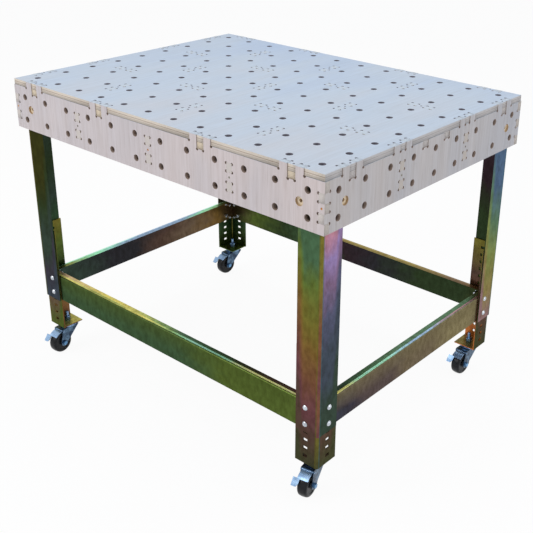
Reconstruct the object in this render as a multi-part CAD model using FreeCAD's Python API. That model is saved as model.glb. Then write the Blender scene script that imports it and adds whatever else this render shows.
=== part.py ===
import FreeCAD, Part
import math
import os

from FreeCAD import Vector

# Assembly table: a plywood torsion-box top full of bench-dog holes, on four angle-iron legs with
# telescoping extensions, four tie rails and four braked swivel casters.
# Frame: +Z up, +X along the long side, the long side with the front apron faces -Y. The origin is on
# the floor under the middle of the whole footprint, which the front casters make longer than the top.
# All sizes are in millimetres.

# ---- plywood top -------------------------------------------------------------------------------
table_length = 1219.2
table_width = 914.4
ply = 18.0                    # thickness of every plywood sheet
skirt_height = 133.0          # depth of aprons and ribs, below the top sheet
hole_pitch = 101.6            # bench-dog grid
edge_to_hole = 50.8           # table edge to the first row of dog holes
dog_hole_diameter = 19.05
dog_row_spacing = 69.85       # between the two rows of holes in an apron
plain_hole_sides = 8          # dog holes outside the stated mounting patterns are cut with few faces
rib_spacing = 304.8
tab_width = 25.4              # finger-joint tab, and the gap between the two tabs of a joint
joint_clearance = 0.1         # each side of a tab in its mortise
doubler_width = 20.0          # strip under the top's rim, inside the aprons
corner_tab_inset = 101.6      # first rim joint from a corner of the top
rim_tab_spacing = 304.8       # from that joint to the next one along a long edge
side_tab_spacing = 203.2      # and along a short edge
leg_bolt_inset = 76.2         # leg bolt from the corner of the table, on both faces
counterbore_diameter = 24.0
counterbore_depth = 6.0
leg_bolt_hole_diameter = 9.5

# ---- steel legs and rails ----------------------------------------------------------------------
steel = 3.0                   # sheet thickness
bend_radius = 3.0             # inside of every bend
slide_clearance = 0.3         # between two sheets that slide or stack
leg_flange = 76.2
leg_length = 701.5
bolt_column = 45.0            # bolts from the outer faces of the leg's corner
leg_end_margin = 24.0         # lower bolt to the lower end of the leg
square_hole = 9.0             # punched for a carriage bolt's neck
slot_length = 14.5
slot_pitch = 25.4
slot_count = 13
slot_margin = 26.0            # end slots to the ends of the extension
rest_slot = 4                 # slot that the lower bolt goes through
bolts_apart = 2               # slot pitches between the two bolts
foot_plate = 74.0             # square plate that closes the extension's lower end
rail_height = 85.0
rail_drop = 3.0               # middle of a rail below the middle of the two bolts
rail_flange = 25.4
rail_end_gap = 0.5            # between a rail's end and the piece beside it

# ---- fasteners ---------------------------------------------------------------------------------
bolt_diameter = 8.0
neck_width = 8.5
neck_length = 5.5
dome_diameter = 16.0
dome_crown_diameter = 8.0
dome_height = 4.4
bolt_sides = 8
dome_sides = 12
nut_width = 13.0              # across flats
nut_height = 6.5
thread_clearance = 0.08
bolt_end = 20.0               # thread that shows past the nut

# ---- casters -----------------------------------------------------------------------------------
wheel_diameter = 75.0
wheel_width = 29.5
wheel_bevel = 5.0
caster_height = 98.0          # floor to the underside of the foot plate
trail = 39.0                  # wheel axle behind the swivel axis
stem_inset = 43.0             # swivel axis from the outer faces of the leg
stem_diameter = 10.0
stem_above_plate = 36.5       # from the underside of the foot plate
stem_nut_width = 17.0
stem_nut_height = 8.0
upper_nut_turn = 0.2          # of one side of the nut, from the lower one
race_diameter = 53.0
race_height = 6.0
race_collar_diameter = 30.0
race_collar_height = 5.0
race_gap = 0.4                # between the fixed and the turning race
fork_sheet = 2.5
fork_wheel_gap = 2.8          # wheel side to fork cheek
fork_lead = 27.0              # fork crown ahead of the swivel axis
fork_heel = 41.5              # and behind it
fork_wheel_top = 7.0          # crown above the wheel
cheek_boss_radius = 12.0
axle_diameter = 8.0
axle_clearance = 0.06
axle_nut_height = 6.5
brake_gap = 2.5               # released brake shoe to the tread
brake_sheet = 2.2
brake_cheek_gap = 1.2         # shoe edge to the fork cheek
brake_pin_diameter = 5.0
brake_pin_angle = 90.0        # round the wheel from straight ahead, over the top
brake_end_angle = 135.0
brake_tab_length = 24.0
brake_tab_width = 20.0
brake_tab_overhang = 12.0     # tab outside the shoe's side
brake_tab_drop = 52.0         # degrees below level
rest_turns = {                # swivel of each caster at rest, in degrees
    "front_left": 6.0,
    "front_right": 11.5,
    "back_right": -2.5,
    "back_left": -2.5,
}
front_reach = 25.4            # front brake tabs past the front apron, at rest

# ---- worked-out places -------------------------------------------------------------------------
half_length = table_length / 2
half_width = table_width / 2
leg_x = half_length - ply     # outer faces of the legs, against the aprons
leg_y = half_width - ply
plate_z = caster_height
first_slot_z = plate_z + slot_margin
low_bolt_z = first_slot_z + rest_slot * slot_pitch
high_bolt_z = low_bolt_z + bolts_apart * slot_pitch
leg_bottom_z = low_bolt_z - leg_end_margin
leg_top_z = leg_bottom_z + leg_length
doubler_z = leg_top_z
sheet_z = doubler_z + ply     # underside of the top sheet
top_z = sheet_z + ply
skirt_z = sheet_z - skirt_height
skirt_middle_z = sheet_z - skirt_height / 2
extension_length = 2 * slot_margin + (slot_count - 1) * slot_pitch
extension_x = leg_x - steel - slide_clearance
extension_y = leg_y - steel - slide_clearance
rail_x = extension_x - steel - slide_clearance
rail_y = extension_y - steel - slide_clearance
rail_z = (low_bolt_z + high_bolt_z) / 2 - rail_drop - rail_height / 2
column_x = leg_x - bolt_column
column_y = leg_y - bolt_column
stem_x = leg_x - stem_inset
stem_y = leg_y - stem_inset
wheel_radius = wheel_diameter / 2
fork_inside = wheel_width / 2 + fork_wheel_gap
crown_z = wheel_diameter + fork_wheel_top

X = Vector(1, 0, 0)
Y = Vector(0, 1, 0)
Z = Vector(0, 0, 1)
ORIGIN = Vector(0, 0, 0)
FROM_TOP_MIDDLE = Vector(0, front_reach / 2, 0)
CORNERS = {
    "front_left": (-1, -1),
    "front_right": (1, -1),
    "back_right": (1, 1),
    "back_left": (-1, 1),
}


def save(name, shape):
    """One node: a solid, or a group of separate solids, drawn about the middle of the top."""
    shape.translated(FROM_TOP_MIDDLE).exportStep("parts/" + name + ".step")


def box(low, high):
    """Box between two opposite corners, given in any order."""
    start = [min(a, b) for a, b in zip(low, high)]
    size = [abs(b - a) for a, b in zip(low, high)]
    return Part.makeBox(size[0], size[1], size[2], Vector(*start))


def prism(points, along):
    """Straight prism on a closed outline."""
    return Part.Face(Part.makePolygon(points + points[:1])).extrude(along)


def side_vectors(axis):
    """Two unit vectors square to an axis."""
    first = X if abs(axis.z) > 0.5 else Z
    second = axis.cross(first)
    second.normalize()
    return second.cross(axis), second


def ring_points(centre, axis, radius, sides, turn=0.5):
    """Corners of a regular polygon inside a circle, turned by a share of one side."""
    u, v = side_vectors(axis)
    steps = [2 * math.pi * (i + turn) / sides for i in range(sides)]
    return [centre + u * (radius * math.cos(a)) + v * (radius * math.sin(a)) for a in steps]


def faceted_rod(centre, axis, diameter, length, sides, turn=0.5):
    return prism(ring_points(centre, axis, diameter / 2, sides, turn), axis * length)


def rod(centre, axis, diameter, length):
    return Part.makeCylinder(diameter / 2, length, centre, axis)


def mirrored(shape, side_x, side_y):
    """A shape made for the front left corner, taken to another corner."""
    if side_x > 0:
        shape = shape.mirror(ORIGIN, X)
    if side_y > 0:
        shape = shape.mirror(ORIGIN, Y)
    return shape


def grid(half_extent):
    """Dog-hole places along one side of the top."""
    first = half_extent - edge_to_hole
    count = int(round(2 * first / hole_pitch)) + 1
    return [-first + i * hole_pitch for i in range(count)]


def both_sides(*places):
    return sorted(side * place for side in (-1, 1) for place in places)


# Places of the finger joints. Every joint is two tabs with a gap of one tab between them.
rib_x = [-rib_spacing, 0.0, rib_spacing]
rib_y = both_sides(rib_spacing / 2)
cross_rib_tab_y = [-rib_spacing, 0.0, rib_spacing]
long_rib_tab_x = both_sides(rib_spacing / 2, 3 * rib_spacing / 2)
long_rim_x = both_sides(half_length - corner_tab_inset, half_length - corner_tab_inset - rim_tab_spacing)
short_rim_y = both_sides(half_width - corner_tab_inset, half_width - corner_tab_inset - side_tab_spacing)
deep_short_rim_y = both_sides(half_width - corner_tab_inset)
short_doubler_y = both_sides(half_width - corner_tab_inset, half_width - corner_tab_inset - rim_tab_spacing)


def tab_spans(middle, clearance=0.0):
    """The two tabs of a joint, as spans along the edge that carries them."""
    near = tab_width / 2 - clearance
    far = 3 * tab_width / 2 + clearance
    return [(middle - far, middle - near), (middle + near, middle + far)]


def gap_span(middle, clearance=0.0):
    """The tongue between the two tabs of a joint."""
    return (middle - tab_width / 2 + clearance, middle + tab_width / 2 - clearance)


def dog_hole(centre, axis, length, is_mount):
    if is_mount:
        return rod(centre, axis, dog_hole_diameter, length)
    return faceted_rod(centre, axis, dog_hole_diameter, length, plain_hole_sides)


def make_top_panel():
    """The top sheet, with dog holes, mortises for the ribs and notches for the aprons' tabs."""
    sheet = box((-half_length, -half_width, sheet_z), (half_length, half_width, top_z))
    cuts = []
    columns = grid(half_length)
    rows = grid(half_width)
    for x in columns:
        for y in rows:
            at_corner = x in (columns[0], columns[-1]) and y in (rows[0], rows[-1])
            cuts.append(dog_hole(Vector(x, y, sheet_z), Z, ply, at_corner))
    half_slot = ply / 2 + joint_clearance
    for x in rib_x:
        for y in cross_rib_tab_y:
            for low, high in tab_spans(y, joint_clearance):
                cuts.append(box((x - half_slot, low, sheet_z), (x + half_slot, high, top_z)))
    for y in rib_y:
        for x in long_rib_tab_x:
            for low, high in tab_spans(x, joint_clearance):
                cuts.append(box((low, y - half_slot, sheet_z), (high, y + half_slot, top_z)))
    depth = ply + joint_clearance
    for side in (-1, 1):
        for middle in long_rim_x:
            for low, high in tab_spans(middle, joint_clearance):
                edge = side * half_width
                cuts.append(box((low, edge, sheet_z), (high, edge - side * depth, top_z)))
        for middle in short_rim_y:
            for low, high in tab_spans(middle, joint_clearance):
                edge = side * half_length
                cuts.append(box((edge, low, sheet_z), (edge - side * depth, high, top_z)))
    return sheet.cut(cuts)


def apron_rows():
    return [skirt_middle_z - dog_row_spacing / 2, skirt_middle_z + dog_row_spacing / 2]


def leg_bolt_cuts(centre, inward):
    """Counterbore from the outer face, and the hole that goes on through."""
    wide = faceted_rod(centre, inward, counterbore_diameter, counterbore_depth, dome_sides)
    narrow = faceted_rod(centre, inward, leg_bolt_hole_diameter, ply, bolt_sides)
    return [wide, narrow]


def apron_mortises(places, make_cut):
    """Two mortises, one above the other, at each rib."""
    half_slot = ply / 2 + joint_clearance
    cuts = []
    for place in places:
        for low, high in tab_spans(skirt_middle_z, joint_clearance):
            cuts.append(make_cut(place - half_slot, place + half_slot, low, high))
    return cuts


def make_long_apron():
    """Front apron. It runs to the corners and has open notches there for the short aprons' tabs."""
    outer = -half_width
    inner = -leg_y
    body = box((-half_length, outer, skirt_z), (half_length, inner, sheet_z))
    tabs = []
    cuts = []
    for middle in long_rim_x:
        for low, high in tab_spans(middle):
            tabs.append(box((low, outer, sheet_z), (high, inner, top_z)))
        low, high = gap_span(middle)
        cuts.append(box((low, outer, doubler_z), (high, inner, sheet_z)))
    for side in (-1, 1):
        end = side * half_length
        notch_end = end - side * (ply + joint_clearance)
        for low, high in tab_spans(skirt_middle_z, joint_clearance):
            cuts.append(box((end, outer, low), (notch_end, inner, high)))
        bolt_at = Vector(side * (half_length - leg_bolt_inset), outer, skirt_middle_z)
        cuts += leg_bolt_cuts(bolt_at, Y)
    places = grid(half_length)
    for x in places:
        for z in apron_rows():
            is_mount = x in (places[0], places[-1])
            cuts.append(dog_hole(Vector(x, outer, z), Y, ply, is_mount))
    cuts += apron_mortises(rib_x, lambda a, b, low, high: box((a, outer, low), (b, inner, high)))
    return body.fuse(tabs).cut(cuts).removeSplitter()


def make_short_apron():
    """Left apron. It fits between the long ones and its end tabs reach through them."""
    outer = -half_length
    inner = -leg_x
    body = box((outer, -leg_y, skirt_z), (inner, leg_y, sheet_z))
    tabs = []
    cuts = []
    for middle in short_rim_y:
        for low, high in tab_spans(middle):
            tabs.append(box((outer, low, sheet_z), (inner, high, top_z)))
    for middle in short_doubler_y:
        low, high = gap_span(middle)
        cuts.append(box((outer, low, doubler_z), (inner, high, sheet_z)))
    for side in (-1, 1):
        for low, high in tab_spans(skirt_middle_z):
            tabs.append(box((outer, side * leg_y, low), (inner, side * half_width, high)))
        bolt_at = Vector(outer, side * (half_width - leg_bolt_inset), skirt_middle_z)
        cuts += leg_bolt_cuts(bolt_at, X)
    places = grid(half_width)
    for y in places:
        for z in apron_rows():
            is_mount = y in (places[0], places[-1])
            cuts.append(dog_hole(Vector(outer, y, z), X, ply, is_mount))
    cuts += apron_mortises(rib_y, lambda a, b, low, high: box((outer, a, low), (inner, b, high)))
    return body.fuse(tabs).cut(cuts).removeSplitter()


def make_doublers():
    """Rim strips under the top sheet. Their tongues fill the aprons' deep notches."""
    inner_y = leg_y - doubler_width
    inner_x = leg_x - doubler_width
    front = box((-leg_x, -leg_y, doubler_z), (leg_x, -inner_y, sheet_z))
    tongues = []
    for middle in long_rim_x:
        low, high = gap_span(middle, joint_clearance)
        tongues.append(box((low, -half_width, doubler_z), (high, -leg_y, sheet_z)))
    left = box((-leg_x, -inner_y, doubler_z), (-inner_x, inner_y, sheet_z))
    side_tongues = []
    for middle in short_doubler_y:
        low, high = gap_span(middle, joint_clearance)
        side_tongues.append(box((-half_length, low, doubler_z), (-leg_x, high, sheet_z)))
    return front.fuse(tongues).removeSplitter(), left.fuse(side_tongues).removeSplitter()


def lap_slot(x, y, low, high, along):
    """Half-height slot where two ribs cross."""
    half_slot = ply / 2 + joint_clearance
    half_x = half_slot if along == "x" else ply
    half_y = half_slot if along == "y" else ply
    return box((x - half_x, y - half_y, low), (x + half_x, y + half_y, high))


def make_cross_rib(x):
    """Rib across the table, slotted from above where the long ribs cross it."""
    low_x = x - ply / 2
    high_x = x + ply / 2
    body = box((low_x, -leg_y, skirt_z), (high_x, leg_y, sheet_z))
    tabs = []
    for y in cross_rib_tab_y:
        for low, high in tab_spans(y):
            tabs.append(box((low_x, low, sheet_z), (high_x, high, top_z)))
    cuts = []
    for side in (-1, 1):
        for low, high in tab_spans(skirt_middle_z):
            tabs.append(box((low_x, side * leg_y, low), (high_x, side * half_width, high)))
        inner_y = side * (leg_y - doubler_width - joint_clearance)
        cuts.append(box((low_x, side * leg_y, doubler_z), (high_x, inner_y, sheet_z)))
    for y in rib_y:
        cuts.append(lap_slot(x, y, skirt_middle_z, sheet_z, "y"))
    return body.fuse(tabs).cut(cuts).removeSplitter()


def make_long_rib(y):
    """Rib along the table, slotted from below where the cross ribs pass."""
    low_y = y - ply / 2
    high_y = y + ply / 2
    body = box((-leg_x, low_y, skirt_z), (leg_x, high_y, sheet_z))
    tabs = []
    for x in long_rib_tab_x:
        for low, high in tab_spans(x):
            tabs.append(box((low, low_y, sheet_z), (high, high_y, top_z)))
    cuts = []
    for side in (-1, 1):
        for low, high in tab_spans(skirt_middle_z):
            tabs.append(box((side * leg_x, low_y, low), (side * half_length, high_y, high)))
        inner_x = side * (leg_x - doubler_width - joint_clearance)
        cuts.append(box((side * leg_x, low_y, doubler_z), (inner_x, high_y, sheet_z)))
    for x in rib_x:
        cuts.append(lap_slot(x, y, skirt_z, skirt_middle_z, "x"))
    return body.fuse(tabs).cut(cuts).removeSplitter()


def angle_outline(first, second):
    """Bent-sheet angle section: outer corner at the origin, legs along +X and +Y."""
    outer = steel + bend_radius
    to_inner = steel + bend_radius
    mid_outer = outer * (1 - math.sqrt(0.5))
    mid_inner = steel + bend_radius * (1 - math.sqrt(0.5))
    outer_arc = Part.Arc(Vector(0, outer, 0), Vector(mid_outer, mid_outer, 0), Vector(outer, 0, 0))
    inner_arc = Part.Arc(
        Vector(to_inner, steel, 0), Vector(mid_inner, mid_inner, 0), Vector(steel, to_inner, 0)
    )
    edges = [
        outer_arc.toShape(),
        Part.makeLine(Vector(outer, 0, 0), Vector(first, 0, 0)),
        Part.makeLine(Vector(first, 0, 0), Vector(first, steel, 0)),
        Part.makeLine(Vector(first, steel, 0), Vector(to_inner, steel, 0)),
        inner_arc.toShape(),
        Part.makeLine(Vector(steel, to_inner, 0), Vector(steel, second, 0)),
        Part.makeLine(Vector(steel, second, 0), Vector(0, second, 0)),
        Part.makeLine(Vector(0, second, 0), Vector(0, outer, 0)),
    ]
    return Part.Face(Part.Wire(edges))


def flange_cut(along_x, along_y, z, width, height, reach):
    """Rectangular punch through both flanges of a corner angle, at the same height."""
    front = box((along_x - width / 2, -leg_y, z - height / 2), (along_x + width / 2, reach[1], z + height / 2))
    side = box((-leg_x, along_y - width / 2, z - height / 2), (reach[0], along_y + width / 2, z + height / 2))
    return [front, side]


def make_leg():
    """Outer angle of the front left leg."""
    section = angle_outline(leg_flange, leg_flange)
    section.translate(Vector(-leg_x, -leg_y, leg_bottom_z))
    body = section.extrude(Z * leg_length)
    inside = (steel - leg_x, steel - leg_y)
    cuts = []
    for z in (low_bolt_z, high_bolt_z):
        cuts += flange_cut(-column_x, -column_y, z, square_hole, square_hole, inside)
    apron_bolt_x = leg_bolt_inset - half_length
    apron_bolt_y = leg_bolt_inset - half_width
    cuts += flange_cut(apron_bolt_x, apron_bolt_y, skirt_middle_z, square_hole, square_hole, inside)
    return body.cut(cuts)


def make_extension():
    """Inner angle that slides in the leg. Rows of slots set the height, and a plate closes its foot."""
    section = angle_outline(leg_flange, leg_flange)
    section.translate(Vector(-extension_x, -extension_y, plate_z))
    body = section.extrude(Z * extension_length)
    inside = (steel - extension_x, steel - extension_y)
    cuts = []
    for i in range(slot_count):
        z = first_slot_z + i * slot_pitch
        cuts += flange_cut(-column_x, -column_y, z, slot_length, square_hole, inside)
    plate_low = (-extension_x + steel / 2, -extension_y + steel / 2, plate_z)
    plate_high = (foot_plate - extension_x, foot_plate - extension_y, plate_z + steel)
    plate = box(plate_low, plate_high)
    stem_hole = faceted_rod(
        Vector(-stem_x, -stem_y, plate_z), Z, stem_diameter + 2 * slide_clearance, steel, dome_sides
    )
    return body.fuse(plate).removeSplitter().cut(cuts + [stem_hole])


def rail_section(height, flange):
    """Rail profile in the YZ plane: web outside, flange on top pointing inwards (+Y)."""
    section = angle_outline(flange, height)
    section.rotate(ORIGIN, X, 90)      # the second leg stands up
    section.rotate(ORIGIN, Z, 90)      # the first leg points to +Y
    return section.mirror(ORIGIN, Z)   # and the flange goes to the top


def make_front_rail():
    end = rail_x - steel - rail_end_gap
    section = rail_section(rail_height, rail_flange)
    section.translate(Vector(-end, -rail_y, rail_z + rail_height))
    body = section.extrude(X * (2 * end))
    flange_end = rail_x - rail_flange - rail_end_gap
    cuts = []
    for side in (-1, 1):
        cope_low = (side * flange_end, steel - rail_y, rail_z + rail_height - steel - bend_radius)
        cope_high = (side * end, rail_flange - rail_y, rail_z + rail_height)
        cuts.append(box(cope_low, cope_high))
        for z in (low_bolt_z, high_bolt_z):
            half = square_hole / 2
            x = side * column_x
            cuts.append(box((x - half, -rail_y, z - half), (x + half, steel - rail_y, z + half)))
    return body.cut(cuts)


def make_left_rail():
    end = extension_y - steel - bend_radius - rail_end_gap
    section = rail_section(rail_height, rail_flange)
    section.rotate(ORIGIN, Z, -90)
    section.translate(Vector(-rail_x, -end, rail_z + rail_height))
    body = section.extrude(Y * (2 * end))
    cuts = []
    for side in (-1, 1):
        for z in (low_bolt_z, high_bolt_z):
            half = square_hole / 2
            y = side * column_y
            cuts.append(box((-rail_x, y - half, z - half), (steel - rail_x, y + half, z + half)))
    return body.cut(cuts)


def carriage_bolt(face, inward, grip):
    """Domed head against the outer face, square neck, plain shank. grip reaches the nut's seat."""
    u, v = side_vectors(inward)
    low_ring = ring_points(face, inward, dome_diameter / 2, bolt_sides)
    top_ring = ring_points(face - inward * dome_height, inward, dome_crown_diameter / 2, bolt_sides)
    wires = [Part.makePolygon(ring + ring[:1]) for ring in (low_ring, top_ring)]
    dome = Part.makeLoft(wires, True, True)
    half = neck_width / 2
    square = [face + u * a + v * b for a, b in ((-half, -half), (half, -half), (half, half), (-half, half))]
    neck = prism(square, inward * neck_length)
    shank = faceted_rod(face, inward, bolt_diameter, grip + nut_height + bolt_end, bolt_sides)
    return dome.fuse([neck, shank]).removeSplitter()


def hex_nut(seat, axis, width, height, bore):
    across_corners = width / math.cos(math.pi / 6)
    body = faceted_rod(seat, axis, across_corners, height, 6)
    return body.cut(faceted_rod(seat, axis, bore, height, bolt_sides))


def make_leg_bolts():
    """Two bolts through each flange of each leg, its extension and the rail inside, with their nuts."""
    grip = rail_stack_depth()
    bolts = []
    nuts = []
    for z in (low_bolt_z, high_bolt_z):
        faces = [(Vector(-column_x, -leg_y, z), Y), (Vector(-leg_x, -column_y, z), X)]
        for face, inward in faces:
            bolt = carriage_bolt(face, inward, grip)
            bore = bolt_diameter + 2 * thread_clearance
            nut = hex_nut(face + inward * grip, inward, nut_width, nut_height, bore)
            for side_x, side_y in CORNERS.values():
                bolts.append(mirrored(bolt, side_x, side_y))
                nuts.append(mirrored(nut, side_x, side_y))
    return Part.makeCompound(bolts), Part.makeCompound(nuts)


def rail_stack_depth():
    """Outer face of a leg to the inner face of a rail's web."""
    return 3 * steel + 2 * slide_clearance


def make_stem(x, y):
    """Stem with its fixed race under the foot plate and two jam nuts run down against the plate."""
    race_z = plate_z - race_collar_height - race_height
    middle = Vector(x, y, 0)
    race = rod(middle + Z * race_z, Z, race_diameter, race_height)
    collar = rod(middle + Z * (race_z + race_height), Z, race_collar_diameter, race_collar_height)
    shank = faceted_rod(middle + Z * plate_z, Z, stem_diameter, stem_above_plate, dome_sides)
    across_corners = stem_nut_width / math.cos(math.pi / 6)
    lower_nut = faceted_rod(middle + Z * (plate_z + steel), Z, across_corners, stem_nut_height, 6)
    upper_z = plate_z + steel + stem_nut_height
    upper_nut = faceted_rod(middle + Z * upper_z, Z, across_corners, stem_nut_height, 6, upper_nut_turn)
    return race.fuse([collar, shank, lower_nut, upper_nut])


def cheek_outline(x, y):
    """Fork cheek in the plane of the wheel: wide at the crown, tangent to a round boss at the axle."""
    axle = Vector(x, y - trail, wheel_radius)
    lead = Vector(x, y + fork_lead, crown_z)
    heel = Vector(x, y - fork_heel, crown_z)
    lead_touch = tangent_point(lead, axle, cheek_boss_radius, 1)
    heel_touch = tangent_point(heel, axle, cheek_boss_radius, -1)
    bottom = axle - Z * cheek_boss_radius
    edges = [
        Part.makeLine(heel, lead),
        Part.makeLine(lead, lead_touch),
        Part.Arc(lead_touch, bottom, heel_touch).toShape(),
        Part.makeLine(heel_touch, heel),
    ]
    return Part.Face(Part.Wire(edges))


def tangent_point(outside, centre, radius, side):
    """Where a line from a point touches a circle in the YZ plane. side picks one of the two."""
    away = outside - centre
    distance = away.Length
    angle = math.atan2(away.z, away.y) - side * math.acos(radius / distance)
    return centre + Vector(0, radius * math.cos(angle), radius * math.sin(angle))


def brake_pin_place(x, y):
    shoe_radius = wheel_radius + brake_gap + brake_sheet / 2
    angle = math.radians(brake_pin_angle)
    return Vector(x, y - trail + shoe_radius * math.cos(angle), wheel_radius + shoe_radius * math.sin(angle))


def make_fork(x, y):
    """Stamped fork: two cheeks, a crown and the turning race on top of it."""
    cheek = cheek_outline(x + fork_inside, y).extrude(X * fork_sheet)
    other = cheek_outline(x - fork_inside, y).extrude(X * -fork_sheet)
    half = fork_inside + fork_sheet
    crown_low = (x - half, y - fork_heel, crown_z)
    crown_high = (x + half, y + fork_lead, crown_z + fork_sheet)
    crown = box(crown_low, crown_high)
    cup_z = crown_z + fork_sheet
    race_z = plate_z - race_collar_height - race_height - race_gap
    cup = rod(Vector(x, y, cup_z), Z, race_diameter, race_z - cup_z)
    body = cheek.fuse([other, crown, cup]).removeSplitter()
    through = Vector(x - half, 0, 0)
    axle_at = Vector(x - half, y - trail, wheel_radius)
    pin_at = brake_pin_place(x, y) - X * half
    axle_hole = faceted_rod(axle_at, X, axle_diameter + 2 * axle_clearance, 2 * half, bolt_sides)
    pin_hole = rod(pin_at, X, brake_pin_diameter + 2 * axle_clearance, 2 * half)
    return body.cut([axle_hole, pin_hole])


def make_axle(x, y):
    """Axle bolt with a hex head on one cheek and a hex nut on the other."""
    half = fork_inside + fork_sheet
    middle = Vector(x, y - trail, wheel_radius)
    across_corners = nut_width / math.cos(math.pi / 6)
    shank = faceted_rod(middle - X * half, X, axle_diameter, 2 * half, bolt_sides)
    head = faceted_rod(middle - X * half, X * -1, across_corners, axle_nut_height, 6)
    nut = faceted_rod(middle + X * half, X, across_corners, axle_nut_height, 6)
    return shank.fuse([head, nut])


def make_wheel(x, y):
    """Wheel with bevelled shoulders, turned about X."""
    half = wheel_width / 2
    bore = axle_diameter / 2 + axle_clearance
    outline = [
        (bore, -half),
        (wheel_radius - wheel_bevel, -half),
        (wheel_radius, -half + wheel_bevel),
        (wheel_radius, half - wheel_bevel),
        (wheel_radius - wheel_bevel, half),
        (bore, half),
    ]
    centre = Vector(x, y - trail, wheel_radius)
    points = [Vector(along, 0, radius) for radius, along in outline]
    face = Part.Face(Part.makePolygon(points + points[:1]))
    face.translate(centre)
    return face.revolve(centre, X, 360)


def make_brake(x, y):
    """Curved shoe over the trailing side of the wheel, hung on a pin, with a foot tab at its end."""
    centre = Vector(x, y - trail, wheel_radius)
    half = fork_inside - brake_cheek_gap
    inner = wheel_radius + brake_gap
    outer = inner + brake_sheet

    def on_circle(radius, degrees):
        angle = math.radians(degrees)
        return centre + Vector(-half, radius * math.cos(angle), radius * math.sin(angle))

    middle = (brake_pin_angle + brake_end_angle) / 2
    edges = [
        Part.Arc(
            on_circle(outer, brake_pin_angle), on_circle(outer, middle), on_circle(outer, brake_end_angle)
        ).toShape(),
        Part.makeLine(on_circle(outer, brake_end_angle), on_circle(inner, brake_end_angle)),
        Part.Arc(
            on_circle(inner, brake_end_angle), on_circle(inner, middle), on_circle(inner, brake_pin_angle)
        ).toShape(),
        Part.makeLine(on_circle(inner, brake_pin_angle), on_circle(outer, brake_pin_angle)),
    ]
    shoe = Part.Face(Part.Wire(edges)).extrude(X * (2 * half))
    pin_half = fork_inside + fork_sheet + axle_nut_height / 4
    pin = rod(brake_pin_place(x, y) - X * pin_half, X, brake_pin_diameter, 2 * pin_half)
    root = on_circle(inner, brake_end_angle) - X * brake_tab_overhang
    drop = math.radians(brake_tab_drop)
    out = Vector(0, -math.cos(drop), -math.sin(drop))
    normal = Vector(0, -math.sin(drop), math.cos(drop))
    start = root - out * brake_sheet
    tab = prism(
        [
            start,
            start + X * brake_tab_width,
            start + X * brake_tab_width + out * (brake_tab_length * 0.6),
            start + X * (brake_tab_width * 0.7) + out * brake_tab_length,
            start + out * brake_tab_length,
        ],
        normal * brake_sheet,
    )
    return shoe.fuse([pin, tab]).removeSplitter()


def build_top():
    save("top_panel", make_top_panel())
    front_apron = make_long_apron()
    save("apron_front", front_apron)
    save("apron_back", mirrored(front_apron, -1, 1))
    left_apron = make_short_apron()
    save("apron_left", left_apron)
    save("apron_right", mirrored(left_apron, 1, -1))
    front_doubler, left_doubler = make_doublers()
    save("doubler_front", front_doubler)
    save("doubler_back", mirrored(front_doubler, -1, 1))
    save("doubler_left", left_doubler)
    save("doubler_right", mirrored(left_doubler, 1, -1))
    for name, x in zip(("left", "middle", "right"), rib_x):
        save("cross_rib_" + name, make_cross_rib(x))
    for name, y in zip(("front", "back"), rib_y):
        save("long_rib_" + name, make_long_rib(y))


def build_frame():
    leg = make_leg()
    extension = make_extension()
    for corner, (side_x, side_y) in CORNERS.items():
        save("leg_" + corner, mirrored(leg, side_x, side_y))
        save("extension_" + corner, mirrored(extension, side_x, side_y))
    front_rail = make_front_rail()
    save("rail_front", front_rail)
    save("rail_back", mirrored(front_rail, -1, 1))
    left_rail = make_left_rail()
    save("rail_left", left_rail)
    save("rail_right", mirrored(left_rail, 1, -1))
    bolts, nuts = make_leg_bolts()
    save("leg_bolts", bolts)
    save("leg_nuts", nuts)


def build_casters():
    for corner, (side_x, side_y) in CORNERS.items():
        x = side_x * stem_x
        y = side_y * stem_y
        pivot = Vector(x, y, 0)
        turn = rest_turns[corner]
        save("caster_stem_" + corner, make_stem(x, y))
        save("caster_fork_" + corner, make_fork(x, y).rotated(pivot, Z, turn))
        save("caster_axle_" + corner, make_axle(x, y).rotated(pivot, Z, turn))
        save("caster_wheel_" + corner, make_wheel(x, y).rotated(pivot, Z, turn))
        save("brake_" + corner, make_brake(x, y).rotated(pivot, Z, turn))


os.makedirs("parts", exist_ok=True)
build_top()
build_frame()
build_casters()
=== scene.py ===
"""Looks of the assembly table: routed plywood sheets, passivated steel and casters."""

import math

import bmesh
import bpy
from mathutils import Matrix, Vector


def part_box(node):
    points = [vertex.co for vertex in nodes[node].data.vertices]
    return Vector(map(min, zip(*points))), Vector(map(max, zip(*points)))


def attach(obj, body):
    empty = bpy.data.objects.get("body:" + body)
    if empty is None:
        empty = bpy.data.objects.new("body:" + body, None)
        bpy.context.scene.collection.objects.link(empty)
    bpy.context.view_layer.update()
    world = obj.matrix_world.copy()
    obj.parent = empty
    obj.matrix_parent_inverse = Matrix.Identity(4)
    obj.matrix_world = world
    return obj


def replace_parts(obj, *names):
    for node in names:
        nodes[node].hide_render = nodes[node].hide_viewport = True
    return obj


MM = 0.001

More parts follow.
